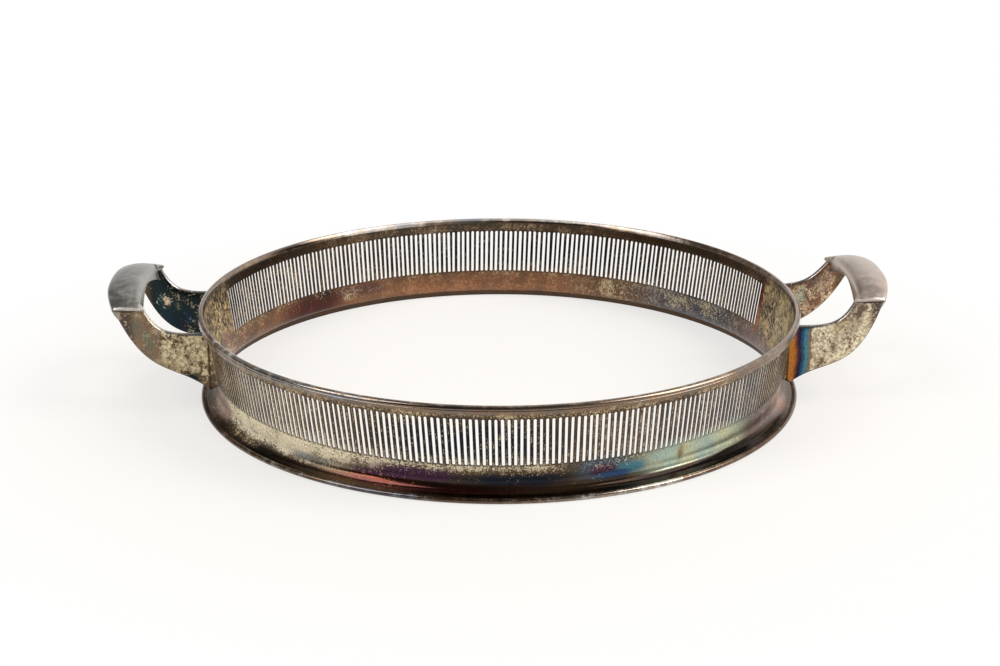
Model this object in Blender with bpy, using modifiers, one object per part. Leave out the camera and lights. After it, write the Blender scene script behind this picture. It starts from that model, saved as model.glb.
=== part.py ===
# A round casserole dish holder: a pierced gallery on a flared foot, a moulded rim and two bridge handles.
# Metres, +Z up. The foot stands on Z = 0 and the two handles lie along X.
import math

import bmesh
import bpy
from mathutils import Matrix, Vector

MM = 0.001
CLEARANCE = 0.3 * MM  # gap left between two pieces that touch
MERGE_DISTANCE = 0.01 * MM
SMOOTH_ANGLE = math.radians(35)  # sharper edges stay crisp

# Gallery: two equal half strips of pierced sheet, each with one plain panel for a handle
SHEET = 0.8 * MM
WAIST_RADIUS = 119.05 * MM  # middle of the sheet at the bottom of the slots
WALL_LEAN = math.radians(8.05)  # the wall opens outwards to the top
SLOT_PITCH = 2.29 * MM
SLOT_WIDTH = 1.2 * MM
SLOT_BOTTOM = 12.8 * MM
SLOT_HEIGHT = 19.1 * MM
SLOT_LEAN = math.radians(1.2)  # every slot is punched a little askew
SLOT_CUT = 6.4 * MM  # reach of the punch through the leaning wall
UPPER_BORDER = 3.7 * MM  # plain strip above the slots, partly inside the rim
PANEL_WIDTH = 66.4 * MM  # plain panel behind each handle
SLOTS_PER_FACET = 3
COVE_RADIUS = 4.4 * MM  # the wall turns out to the foot on this radius
COVE_SEGMENTS = 5
BRIM_LENGTH = 1.9 * MM
BRIM_SLOPE = math.radians(20)

# Foot ring: a drawn moulding under the brim
FOOT_WIDTH = 4.2 * MM
FOOT_HEIGHT = 2.0 * MM
FOOT_LIP = 1.8 * MM  # wall outside the edge of the brim
FOOT_FLOOR = 0.53 * MM  # metal under the lowest point of the seat
FOOT_ROUND = 0.5 * MM
FOOT_FALL = 0.12 * MM  # fall of the top face to the brim

# Rim: a half-round moulding that caps the top edge of the gallery and laps its outside
RIM_SKIRT = 1.8 * MM  # wall outside the gallery
RIM_DRAFT = 0.2 * MM  # the skirt leans in this much to its lower edge
RIM_LAP = 1.2 * MM  # height of gallery covered by the skirt
RIM_CROWN = 1.8 * MM  # metal above the gallery's edge
RIM_SIDE = 0.4 * MM  # upright part of the inner edge, below the round
RIM_ARC_SEGMENTS = 6
RING_STEPS = 90

# Arms: four cast plates, two to a handle, each flared where it meets the gallery
ARM_INSET = 5.7 * MM  # middle of an arm from the edge of its plain panel
ARM_THICK = 3.6 * MM
ARM_CROWN = 0.3 * MM  # swell of each face
ARM_EDGE = 0.8 * MM  # width of the eased edges
ARM_FLARE = 1.7 * MM  # added to each side at the root
ARM_FLARE_LENGTH = 6.0 * MM
ARM_ROOT_BITE = 2.0 * MM  # length that the fitting cut takes off the root
ARM_UNDER_RIM = 0.5 * MM  # top of the root below the skirt
ARM_ROOT_LOW = 8.2 * MM  # bottom of the root above the table
ARM_ROOT_DROP = 5.2 * MM  # the lower edge starts this much lower, inside the fitting cut
ARM_REACH = 20.4 * MM  # inner end of the arm's head beyond the gallery
ARM_HEAD = 12.1 * MM  # length of the head, which carries the grip
UPPER_RUN = 19.9 * MM  # level run of the upper edge, from the root
UPPER_SWEEP = 5.2 * MM  # the upper edge turns up this far inside the head
UPPER_SAG = 1.2 * MM
LOWER_RUN = 17.3 * MM  # run of the lower edge's first swell, from the root
LOWER_SWELL = 14.8 * MM
LOWER_SWEEP = 13.1 * MM  # the lower edge turns up this far inside the head
LOWER_DIP = 0.7 * MM
ARM_STATIONS = 15

# Grips: an arched saddle over each pair of arms, deeper where it meets them
GRIP_RISE = 7.0 * MM  # ends of the saddle above the top of the rim
GRIP_LIP = 1.2 * MM  # part of the saddle that lies over the arms
GRIP_ARCH = 3.4 * MM  # rise of the saddle's edges from the ends to the middle
GRIP_CROWN = 1.8 * MM  # swell of the top between its two edges, at the middle
GRIP_END_CROWN = 0.6 * MM  # the same at the two ends
GRIP_THICK = 4.3 * MM  # at the middle
GRIP_HAUNCH = 5.2 * MM  # depth of the ends below the lip, between the arms
GRIP_OVERHANG = 0.3 * MM  # saddle past the outer faces and ends of the arms
GRIP_BOW_OUT = 5.0 * MM  # outward bow of the outer edge, in plan
GRIP_BOW_IN = 1.0 * MM  # bow of the inner edge
GRIP_TUCK = 2.0 * MM  # the underside is this much narrower on each side
GRIP_TUCK_MIDDLE = 0.7 * MM  # the same, halfway down the sides
GRIP_ROUND = 0.7 * MM  # easing of the saddle's long edges
GRIP_STATIONS = 16
ARCH_POWER = 3  # the arches are flat in the middle and turn down near the ends
CROWN_SHARES = (0.25, 0.5, 0.75)  # points across the crowned top

# Sizes that follow from the ones above
ARM_SPREAD = PANEL_WIDTH / 2 - ARM_INSET  # middle of an arm from the handle's centre line
LEAN_RATE = math.tan(WALL_LEAN)
SLOT_TOP = SLOT_BOTTOM + SLOT_HEIGHT
GALLERY_TOP = SLOT_TOP + UPPER_BORDER
RIM_CEILING = GALLERY_TOP + CLEARANCE
RIM_TOP = RIM_CEILING + RIM_CROWN
SKIRT_BOTTOM = GALLERY_TOP - RIM_LAP
SADDLE_EDGE = RIM_TOP + GRIP_RISE
ARM_TOP = SADDLE_EDGE - GRIP_LIP - CLEARANCE
SEAT_DROP = (SHEET / 2 + CLEARANCE) / math.cos(BRIM_SLOPE)

COLLECTION_NAME = "casserole_dish_holder"

# Colour and roughness of each finish
GALLERY_FINISH = ((0.38, 0.33, 0.25), 0.38)
RIM_FINISH = ((0.42, 0.40, 0.37), 0.25)
FOOT_FINISH = ((0.22, 0.20, 0.18), 0.32)
ARM_FINISH = ((0.38, 0.33, 0.25), 0.42)
GRIP_FINISH = ((0.40, 0.39, 0.37), 0.30)


def wall_radius(z):
    """Radius of the middle of the sheet on the straight, leaning part of the wall."""
    return WAIST_RADIUS + (z - SLOT_BOTTOM) * LEAN_RATE


MID_SLOT = SLOT_BOTTOM + SLOT_HEIGHT / 2
FACETS_PER_STRIP = round(math.pi * wall_radius(MID_SLOT) / (SLOTS_PER_FACET * SLOT_PITCH))
PITCHES_PER_STRIP = SLOTS_PER_FACET * FACETS_PER_STRIP
PITCH_ANGLE = math.pi / PITCHES_PER_STRIP
PANEL_PITCHES = round(PANEL_WIDTH / SLOT_PITCH)
SLOTS_PER_STRIP = PITCHES_PER_STRIP - PANEL_PITCHES
SEAM_ANGLE = PANEL_PITCHES * PITCH_ANGLE / 2  # from the handle's centre line
SEAM_GAP_ANGLE = CLEARANCE / wall_radius(GALLERY_TOP)


def clear_scene():
    for old in list(bpy.data.objects):
        bpy.data.objects.remove(old, do_unlink=True)


def make_collection(name):
    group = bpy.data.collections.new(name)
    bpy.context.scene.collection.children.link(group)
    return group


def make_material(name, finish):
    colour, roughness = finish
    material = bpy.data.materials.new(name)
    material.use_nodes = True
    shader = material.node_tree.nodes["Principled BSDF"]
    shader.inputs["Base Color"].default_value = (*colour, 1.0)
    shader.inputs["Roughness"].default_value = roughness
    shader.inputs["Metallic"].default_value = 1.0
    return material


def add_object(name, mesh, group, material=None, parent=None):
    obj = bpy.data.objects.new(name, mesh)
    group.objects.link(obj)
    obj.parent = parent
    if material is not None and not mesh.materials:
        mesh.materials.append(material)
    return obj


def add_cutter(name, mesh, parent=None):
    obj = add_object(name, mesh, cutters, parent=parent)
    obj.hide_render = True
    obj.display_type = "WIRE"
    return obj


def cut(obj, cutter):
    boolean = obj.modifiers.new(cutter.name, "BOOLEAN")
    boolean.operation = "DIFFERENCE"
    boolean.solver = "EXACT"
    boolean.object = cutter


def profile_mesh(name, points, closed):
    """Edges through (radius, height) points in the XZ plane."""
    mesh = bpy.data.meshes.new(name)
    edges = [(i, i + 1) for i in range(len(points) - 1)]
    if closed:
        edges.append((len(points) - 1, 0))
    mesh.from_pydata([(radius, 0.0, height) for radius, height in points], edges, [])
    return mesh


def turn(obj, steps, angle=2 * math.pi, merge=True):
    """Revolve a profile about Z."""
    screw = obj.modifiers.new("turn", "SCREW")
    screw.angle = angle
    screw.steps = steps
    screw.render_steps = steps
    screw.use_merge_vertices = merge
    screw.merge_threshold = MERGE_DISTANCE
    screw.use_smooth_shade = True


def finish_smooth(mesh):
    mesh.shade_smooth()
    mesh.set_sharp_from_angle(angle=SMOOTH_ANGLE)


def cubic(points, t):
    """Point at t on the Bezier curve with four control points."""
    a, b, c, d = (Vector(point) for point in points)
    s = 1 - t
    return a * s**3 + b * (3 * s * s * t) + c * (3 * s * t * t) + d * t**3


def loft(name, rings):
    """Skin between rings of equally many points, closed at both ends."""
    mesh = bpy.data.meshes.new(name)
    skin = bmesh.new()
    rows = [[skin.verts.new(point) for point in ring] for ring in rings]
    for row, following in zip(rows, rows[1:]):
        for i in range(len(row)):
            j = (i + 1) % len(row)
            skin.faces.new((row[i], row[j], following[j], following[i]))
    skin.faces.new(reversed(rows[0]))
    skin.faces.new(rows[-1])
    bmesh.ops.recalc_face_normals(skin, faces=skin.faces)
    skin.to_mesh(mesh)
    skin.free()
    finish_smooth(mesh)
    return mesh


def boxes_mesh(name, size, places):
    """One box of the given size at each placement matrix."""
    mesh = bpy.data.meshes.new(name)
    boxes = bmesh.new()
    for place in places:
        bmesh.ops.create_cube(boxes, size=1.0, matrix=place @ Matrix.Diagonal((*size, 1.0)))
    boxes.to_mesh(mesh)
    boxes.free()
    return mesh


def gallery_profile():
    """Middle of the sheet, from the top edge down the wall, round the cove and along the brim."""
    start = -math.pi / 2 - WALL_LEAN
    end = -BRIM_SLOPE
    brim_to_lip = SHEET / 2 * math.sin(BRIM_SLOPE) + CLEARANCE
    brim_edge_height = FOOT_FLOOR + SEAT_DROP + brim_to_lip * math.tan(BRIM_SLOPE)
    arc_end_height = brim_edge_height + BRIM_LENGTH * math.sin(BRIM_SLOPE)
    cove_top = arc_end_height + COVE_RADIUS * (math.cos(end) - math.cos(start))
    points = [(wall_radius(GALLERY_TOP), GALLERY_TOP)]
    for i in range(COVE_SEGMENTS + 1):
        bend = start + (end - start) * i / COVE_SEGMENTS
        radius = wall_radius(cove_top) + COVE_RADIUS * (math.sin(bend) - math.sin(start))
        height = cove_top - COVE_RADIUS * (math.cos(bend) - math.cos(start))
        points.append((radius, height))
    arc_radius, arc_height = points[-1]
    points.append((arc_radius + BRIM_LENGTH * math.cos(BRIM_SLOPE), brim_edge_height))
    return points


def make_gallery(brim):
    strip_mesh = profile_mesh("gallery_strip", brim, closed=False)
    slot_size = (SLOT_CUT, SLOT_WIDTH, SLOT_HEIGHT)
    slot_centre = Matrix.Translation((wall_radius(MID_SLOT), 0.0, MID_SLOT))
    slot_place = slot_centre @ Matrix.Rotation(SLOT_LEAN, 4, "X")
    slot_angles = [SEAM_ANGLE + (i + 0.5) * PITCH_ANGLE for i in range(SLOTS_PER_STRIP)]
    slot_places = [Matrix.Rotation(angle, 4, "Z") @ slot_place for angle in slot_angles]
    slots_mesh = boxes_mesh("slots", slot_size, slot_places)
    for name, turned in (("gallery_front", math.pi), ("gallery_back", 0.0)):
        strip = add_object(name, strip_mesh, parts, gallery_silver)
        strip.rotation_euler.z = turned + SEAM_ANGLE + SEAM_GAP_ANGLE / 2
        turn(strip, FACETS_PER_STRIP, math.pi - SEAM_GAP_ANGLE, merge=False)
        thicken = strip.modifiers.new("sheet", "SOLIDIFY")
        thicken.thickness = SHEET
        thicken.offset = 0.0
        thicken.use_even_offset = True
        slots = add_cutter(name + "_slots", slots_mesh)
        slots.rotation_euler.z = turned
        cut(strip, slots)


def make_foot(brim):
    brim_radius, brim_height = brim[-1]
    lip_inside = brim_radius + SHEET / 2 * math.sin(BRIM_SLOPE) + CLEARANCE
    outside = lip_inside + FOOT_LIP
    inside = outside - FOOT_WIDTH

    def seat(radius):
        return brim_height - (radius - brim_radius) * math.tan(BRIM_SLOPE) - SEAT_DROP

    points = [
        (lip_inside, FOOT_HEIGHT - FOOT_FALL),
        (outside - FOOT_ROUND, FOOT_HEIGHT),
        (outside, FOOT_HEIGHT - FOOT_ROUND),
        (outside, FOOT_ROUND),
        (outside - FOOT_ROUND, 0.0),
        (inside, 0.0),
        (inside, seat(inside)),
        (lip_inside, seat(lip_inside)),
    ]
    foot = add_object("foot_ring", profile_mesh("foot_ring", points, closed=True), parts, foot_silver)
    turn(foot, RING_STEPS)


def make_rim():
    inside = wall_radius(GALLERY_TOP)
    outside = wall_radius(GALLERY_TOP) + SHEET / 2 + CLEARANCE + RIM_SKIRT
    rebate = SHEET / 2 / math.cos(WALL_LEAN) + CLEARANCE
    spring = RIM_CEILING + RIM_SIDE
    points = []
    for i in range(RIM_ARC_SEGMENTS + 1):
        bend = math.pi * (1 - i / RIM_ARC_SEGMENTS)
        radius = (inside + outside) / 2 + (outside - inside) / 2 * math.cos(bend)
        points.append((radius, spring + (RIM_TOP - spring) * math.sin(bend)))
    points += [
        (outside - RIM_DRAFT, SKIRT_BOTTOM),
        (wall_radius(SKIRT_BOTTOM) + rebate, SKIRT_BOTTOM),
        (wall_radius(RIM_CEILING) + rebate, RIM_CEILING),
        (inside, RIM_CEILING),
    ]
    rim = add_object("rim_moulding", profile_mesh("rim_moulding", points, closed=True), parts, rim_silver)
    turn(rim, RING_STEPS)


def arm_edges():
    """Control points of the arm's upper and lower edges, in the handle's own XZ plane."""
    gallery_outside = wall_radius(GALLERY_TOP) + SHEET / 2
    widest = ARM_SPREAD + ARM_THICK / 2 + ARM_FLARE
    root_radius = wall_radius(ARM_ROOT_LOW) + SHEET / 2
    root = math.sqrt(root_radius**2 - widest**2) - ARM_ROOT_BITE
    root_high = SKIRT_BOTTOM - ARM_UNDER_RIM
    head_inner = gallery_outside + ARM_REACH
    head_outer = head_inner + ARM_HEAD
    upper = (
        (root, root_high),
        (root + UPPER_RUN, root_high - UPPER_SAG),
        (head_inner - UPPER_SWEEP, root_high - UPPER_SAG),
        (head_inner, ARM_TOP),
    )
    lower = (
        (root, ARM_ROOT_LOW - ARM_ROOT_DROP),
        (root + LOWER_RUN, ARM_ROOT_LOW + LOWER_SWELL),
        (head_outer - LOWER_SWEEP, ARM_ROOT_LOW + LOWER_DIP),
        (head_outer, ARM_TOP),
    )
    return upper, lower


def arm_mesh():
    """Loft along the arm: eased oblong sections from the lower to the upper edge, flared at the root."""
    upper, lower = arm_edges()
    rings = []
    for i in range(ARM_STATIONS):
        t = i / (ARM_STATIONS - 1)
        high = cubic(upper, t)
        low = cubic(lower, t)
        across = high - low
        ease = ARM_EDGE / across.length
        from_root = (low.x + high.x) / 2 - upper[0][0] - ARM_ROOT_BITE
        flare = ARM_FLARE * max(0.0, 1 - max(0.0, from_root) / ARM_FLARE_LENGTH) ** 2
        half = ARM_THICK / 2 + flare
        flat = half - ARM_CROWN
        outline = [
            (ease, flat), (0.5, half), (1 - ease, flat), (1.0, flat - ARM_EDGE),
            (1.0, ARM_EDGE - flat), (1 - ease, -flat), (0.5, -half), (ease, -flat),
            (0.0, ARM_EDGE - flat), (0.0, flat - ARM_EDGE),
        ]
        ring = []
        for along, side in outline:
            point = low + across * along
            ring.append((point.x, side, point.y))
        rings.append(ring)
    return loft("arm", rings)


def grip_mesh():
    """Loft along the bar: a crowned top, eased edges and an underside that arches between the arms."""
    upper, lower = arm_edges()
    half_length = ARM_SPREAD + ARM_THICK / 2 + GRIP_OVERHANG
    arch_middle = SADDLE_EDGE + GRIP_ARCH - GRIP_THICK
    arch_spring = SADDLE_EDGE - GRIP_LIP - GRIP_HAUNCH
    half_span = ARM_SPREAD - ARM_THICK / 2
    rings = []
    for i in range(GRIP_STATIONS + 1):
        y = -half_length * math.cos(math.pi * i / GRIP_STATIONS)
        bow = 1 - (y / half_length) ** 2
        swell = 1 - (abs(y) / half_length) ** ARCH_POWER
        inner = upper[3][0] - GRIP_OVERHANG + GRIP_BOW_IN * bow
        outer = lower[3][0] + GRIP_OVERHANG + GRIP_BOW_OUT * bow
        edge = SADDLE_EDGE + GRIP_ARCH * swell
        vault = 1 - min(1.0, abs(y) / half_span) ** ARCH_POWER
        under = arch_spring + (arch_middle - arch_spring) * vault
        crown = GRIP_END_CROWN + (GRIP_CROWN - GRIP_END_CROWN) * swell
        outline = [(inner, edge - GRIP_ROUND), (inner + GRIP_ROUND, edge)]
        for share in CROWN_SHARES:
            outline.append((inner + (outer - inner) * share, edge + crown * 4 * share * (1 - share)))
        outline += [
            (outer - GRIP_ROUND, edge),
            (outer, edge - GRIP_ROUND),
            (outer - GRIP_TUCK_MIDDLE, (edge + under) / 2),
            (outer - GRIP_TUCK, under),
            (inner + GRIP_TUCK, under),
            (inner + GRIP_TUCK_MIDDLE, (edge + under) / 2),
        ]
        rings.append([(x, y, z) for x, z in outline])
    return loft("grip", rings)


def make_handles():
    off_wall = SHEET / 2 / math.cos(WALL_LEAN) + CLEARANCE
    fitting_points = [
        (0.0, RIM_TOP),
        (wall_radius(RIM_TOP) + off_wall, RIM_TOP),
        (wall_radius(0.0) + off_wall, 0.0),
        (0.0, 0.0),
    ]
    fitting = add_cutter("gallery_fitting", profile_mesh("gallery_fitting", fitting_points, closed=False))
    turn(fitting, 2 * FACETS_PER_STRIP)

    arm = arm_mesh()
    grip = grip_mesh()
    lower = arm_edges()[1]
    notch_size = (lower[3][0], 2 * ARM_THICK, SADDLE_EDGE)
    notch_y = ARM_SPREAD + ARM_THICK / 2 - CLEARANCE
    notch_z = ARM_TOP + CLEARANCE - SADDLE_EDGE / 2
    notch_places = [Matrix.Translation((lower[3][0], y, notch_z)) for y in (-notch_y, notch_y)]
    notch_mesh = boxes_mesh("arm_notches", notch_size, notch_places)
    for side, turned in (("left", math.pi), ("right", 0.0)):
        frame = bpy.data.objects.new(side + "_handle", None)
        parts.objects.link(frame)
        frame.rotation_euler.z = turned
        near = -ARM_SPREAD * math.cos(turned)
        for end, offset in (("front", near), ("back", -near)):
            plate = add_object(f"{side}_arm_{end}", arm, parts, arm_silver, frame)
            plate.location.y = offset
            cut(plate, fitting)
        bar = add_object(side + "_grip", grip, parts, grip_silver, frame)
        cut(bar, add_cutter(side + "_notches", notch_mesh, frame))


clear_scene()
parts = make_collection(COLLECTION_NAME)
cutters = make_collection("cutters")
gallery_silver = make_material("pitted_gallery_silver", GALLERY_FINISH)
rim_silver = make_material("worn_rim_silver", RIM_FINISH)
foot_silver = make_material("dark_foot_silver", FOOT_FINISH)
arm_silver = make_material("pitted_arm_silver", ARM_FINISH)
grip_silver = make_material("satin_grip_silver", GRIP_FINISH)

gallery_line = gallery_profile()
make_gallery(gallery_line)
make_foot(gallery_line)
make_rim()
make_handles()
bpy.context.view_layer.update()
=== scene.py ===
import math

import bpy
import numpy as np
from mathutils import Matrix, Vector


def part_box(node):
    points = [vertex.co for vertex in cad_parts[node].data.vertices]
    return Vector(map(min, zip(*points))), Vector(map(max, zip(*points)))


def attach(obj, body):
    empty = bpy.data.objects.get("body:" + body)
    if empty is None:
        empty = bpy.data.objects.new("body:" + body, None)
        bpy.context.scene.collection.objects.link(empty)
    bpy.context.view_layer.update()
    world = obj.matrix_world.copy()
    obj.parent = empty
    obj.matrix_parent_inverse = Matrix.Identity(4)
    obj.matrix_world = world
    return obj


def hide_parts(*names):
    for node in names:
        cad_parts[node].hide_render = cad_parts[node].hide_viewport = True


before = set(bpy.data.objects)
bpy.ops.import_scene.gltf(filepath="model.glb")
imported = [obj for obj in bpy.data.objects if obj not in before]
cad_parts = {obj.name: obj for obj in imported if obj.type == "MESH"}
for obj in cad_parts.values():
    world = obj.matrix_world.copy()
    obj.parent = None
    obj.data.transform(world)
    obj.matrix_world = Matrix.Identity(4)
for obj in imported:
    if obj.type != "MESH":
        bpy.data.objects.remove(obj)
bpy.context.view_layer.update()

mm = 0.001
sharpBend = 38  # degrees; a sharper bend stays a crisp edge
print("frame loaded:", ", ".join(sorted(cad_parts)))


def hexColour(text):
    # sRGB hex to linear light, by the sRGB curve
    srgb = np.array([int(text[i:i + 2], 16) for i in (1, 3, 5)]) / 255
    linear = np.where(srgb <= 0.04045, srgb / 12.92, ((srgb + 0.055) / 1.055) ** 2.4)
    return (*linear.tolist(), 1.0)


def addNode(tree, kind, inputs=None, out=0, **settings):
    # one node: settings go on it, each input takes a number, a colour or a link, and one output comes back
    node = tree.nodes.new("ShaderNode" + kind)
    for key, value in settings.items():
        setattr(node, key, value)
    for key, value in (inputs or {}).items():
        if isinstance(value, bpy.types.NodeSocket):
            tree.links.new(value, node.inputs[key])
        else:
            node.inputs[key].default_value = value
    return node.outputs[out]


def smoothRise(value, start, end):
    # from 0 at the start to 1 at the end, which may be the lower: three times the square of the share of the way
    # less twice its cube
    share = np.clip((value - start) / (end - start), 0, 1)
    return share * share * (3 - 2 * share)


def plateau(away, half):
    # 1 in the middle, falling off about one half width away: e to the minus cube of the distance in half widths
    return np.exp(-np.abs(away / half) ** 3)


def turnFrom(azimuth, middle):
    # signed angle from the middle, in degrees, the short way round
    return (azimuth - middle + 180) % 360 - 180


def gridFaces(rows, columns, closeRows=False, closeColumns=False):
    # quads between neighbouring points of a rows by columns grid, numbered row by row
    index = np.arange(rows * columns).reshape(rows, columns)
    if closeRows:
        index = np.vstack([index, index[:1]])
    if closeColumns:
        index = np.hstack([index, index[:, :1]])
    corners = (index[:-1, :-1], index[1:, :-1], index[1:, 1:], index[:-1, 1:])
    return np.stack(corners, -1).reshape(-1, 4)


def tubeFaces(rows, columns, mirrored):
    # the skin of a tube of rings and a cap on its first and last ring; a mirrored tube has them all turned back
    turn = -1 if mirrored else 1
    first, last = range(columns), range(rows * columns - 1, (rows - 1) * columns - 1, -1)
    return gridFaces(rows, columns, False, True)[:, ::turn], [first[::turn], last[::turn]]


def addObject(name, data):
    # a new object in the scene
    made = bpy.data.objects.new(name, data)
    bpy.context.scene.collection.objects.link(made)
    return made


def makePiece(name, points, quads, fields, material, caps=(), cut=None):
    # a mesh at the origin from points in mm; each field puts a colour or number at every point, cut marks sawn faces
    mesh = bpy.data.meshes.new(name)
    mesh.from_pydata((points * mm).tolist(), [], quads.tolist() + [list(cap) for cap in caps])
    for key, values in fields.items():
        if values.ndim > 1:
            layer = mesh.attributes.new(key, "FLOAT_COLOR", "POINT").data
            layer.foreach_set("color", np.insert(values, 3, 1, axis=1).astype(np.float32).ravel())
        else:
            mesh.attributes.new(key, "FLOAT", "POINT").data.foreach_set("value", values.astype(np.float32))
    if cut is not None:
        mesh.attributes.new("cut", "FLOAT", "FACE").data.foreach_set("value", cut.astype(np.float32))
    mesh.shade_smooth()
    mesh.set_sharp_from_angle(angle=math.radians(sharpBend))
    mesh.materials.append(material)
    return addObject(name, mesh)


def settle(piece, node):
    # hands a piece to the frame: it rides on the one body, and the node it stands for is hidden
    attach(piece, "root")
    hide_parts(node)


def plateState(ground, fleck, share, shine):
    # one state of the plate: two colours in linear light, how much of it is flecked, how bright it is polished
    colours = {"ground": np.array(hexColour(ground)[:3]), "fleck": np.array(hexColour(fleck)[:3])}
    return {**colours, "share": share, "shine": shine}


plateLooks = {  # ground, fleck, share flecked, shine
    "brightAndHighlight": ("#d6d0c6", "#ded8ce", 0.30, 1.00),  # rubbed clean, and elsewhere a painted highlight
    "satin": ("#969590", "#a8a6a0", 0.35, 0.95),  # worn by hands, pale to brown
    # pale and rough: used only as painted reflection and painted light
    "paintedSheen": ("#e2dad2", "#eee7df", 0.30, 0.30),
    # pale pink metal, also used as painted highlight and painted reflection
    "blushAndSheen": ("#c4b2a4", "#cdbdb0", 0.35, 0.90),
    "dun": ("#958373", "#a39282", 0.30, 0.90),
    "bronze": ("#6a5646", "#7d6957", 0.30, 0.90),
    "sugar": ("#a8977a", "#eee3c6", 0.74, 0.05),  # broken down to grains
    "crumb": ("#6c583c", "#e8d9b2", 0.68, 0.10),
    "frost": ("#8a7059", "#f8ebcc", 0.81, 0.08),
    "crust": ("#664f38", "#cdbb96", 0.48, 0.20),
    "ash": ("#5f4e42", "#c2b298", 0.40, 0.30),
    "tan": ("#86694a", "#d6c49e", 0.50, 0.20),
    "fawn": ("#8c765e", "#ab987c", 0.40, 0.40),
    "bisque": ("#946a50", "#fbe2bc", 0.66, 0.12),
    "copper": ("#93674a", "#aa7f5c", 0.35, 0.40),  # worn to the base metal
    "umber": ("#5a4835", "#80694f", 0.35, 0.45),
    "gilt": ("#392a1c", "#d2b683", 0.45, 0.30),
    "mauve": ("#7c6862", "#a08d84", 0.40, 0.45),
    "pink": ("#a98b7b", "#c8ae9e", 0.40, 0.30),
    "ochre": ("#8a7852", "#b8a574", 0.40, 0.45),  # sulphide film, thin to thick
    "orange": ("#b8752c", "#cf8c3c", 0.30, 0.60),
    "rust": ("#8a5231", "#a86841", 0.20, 1.00),
    "maroon": ("#522d29", "#6e463c", 0.22, 0.95),
    "plum": ("#47293f", "#b09a98", 0.34, 0.80),
    "navy": ("#191e2a", "#b4a582", 0.26, 0.75),
    "pine": ("#1e2c30", "#b6a888", 0.28, 0.75),
    "slate": ("#465668", "#7c8a98", 0.30, 0.85),
    "cobalt": ("#2e4b72", "#7697b0", 0.28, 0.90),
    "teal": ("#4a8092", "#9cbcb8", 0.22, 0.95),
    "sage": ("#6e775f", "#939a7e", 0.30, 0.50),
    "mint": ("#cad7bd", "#d2d9bf", 0.20, 0.75),
    # near black: tarnish in places, and elsewhere painted shade and painted dark reflection
    "sootAndShade": ("#1d1613", "#3c2e26", 0.15, 1.05),
}
states = {name: plateState(*look) for name, look in plateLooks.items()}
turnsOver = {"ground": (0.3, 1.0), "fleck": (0.0, 0.6)}  # part of a weight over which each colour gives way


def stateField(count, state):
    # the same state of the plate at every point
    look = states[state].items()
    return {key: np.array(np.broadcast_to(value, (count, *np.shape(value)))) for key, value in look}


def spread(fields, state, weight):
    # pulls each point towards another state by its weight of 0 to 1: the flecks come first and the ground last,
    # so that one state breaks up into the next
    for key, value in states[state].items():
        pull = smoothRise(weight, *turnsOver[key])[:, None] if key in turnsOver else weight
        fields[key] += (value - fields[key]) * pull


def fade(fields, band, value, where=1.0):
    # a band: a state, its strength, and the values between which it comes in
    state, strength, start, end = band
    spread(fields, state, strength * smoothRise(value, start, end) * where)


def paintPatches(fields, patches, place, height, where=1.0, turns=True):
    # each patch: a state, its middle and half width, its height and half height, and its strength, with soft edges;
    # places are azimuths in degrees, or distances if they don't turn
    for state, middle, half, up, halfUp, strength in patches:
        away = turnFrom(place, middle) if turns else place - middle
        spread(fields, state, strength * plateau(away, half) * plateau(height - up, halfUp) * where)


plainPlate = {
    # sizes in mm; single specks and scratches are finer than this on the metal, and are drawn coarse enough to show
    "cloudMm": 9, "mottleMm": 1.5, "speckMm": 0.5, "streakMm": 0.5, "wearMm": 0.6, "grainMm": 1.0,
    "warpMm": 0.8, "reliefMm": 0.08,
    "streakFlat": 0.22,  # width of an upright streak over its height
    "fine": 0.62, "drift": 0.35, "soft": 0.08,  # specks against mottle, clouds' pull, softness of a fleck's edge
    "fleckSpan": (0.5, 0.85), "fleckEdge": 1.02,  # noise from no flecks to all; its sum with their share at an edge
    "gap": 0.0, "gapSpan": (0.35, 0.75),  # ground that shows between grains, and how far out from their middles
    "coolFilm": "#dbe4f0", "warmFilm": "#fff0de", "filmSpan": (0.35, 0.65), "tint": 1.0,  # drift of the ground
    "wearSpan": (0.3, 0.7), "depth": 0.35,  # light and dark of the wear
    "sawnDark": "#2a1e15", "sawn": 0.7,
    "metal": (0.45, 0.5), "fleckMetal": -0.55,  # metallic of dull plate, what shine adds, and what flecks take off
    "rough": (0.48, -0.4), "fleckRough": 0.12, "wearRough": 0.08, "satin": 0.0,
    "bump": 0.35, "brightBump": 0.1, "wearBump": 0.25,
}


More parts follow.
